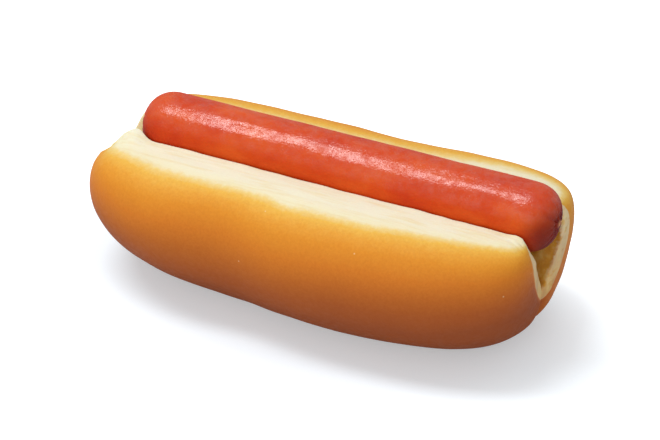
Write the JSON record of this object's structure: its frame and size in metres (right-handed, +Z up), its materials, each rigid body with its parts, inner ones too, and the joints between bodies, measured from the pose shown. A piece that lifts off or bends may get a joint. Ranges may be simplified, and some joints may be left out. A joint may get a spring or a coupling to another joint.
{
  "type": "hot dog",
  "caption": "Frankfurter held in the open slit of a soft bun that stands on its hinge, cut side up.",
  "frame": {"origin": "middle of the footprint's box, on the surface the bun stands on", "axes": "+X along the bun and the sausage towards the end where the sausage's tip shows, +Z up out of the slit"},
  "size_m": [0.1372, 0.0622, 0.0525],
  "materials": {
    "bun": "satin",
    "frank": "satin"
  },
  "bodies": {
    "root": {"bun": "bun", "frank": "frank"}
  },
  "joints": []
}
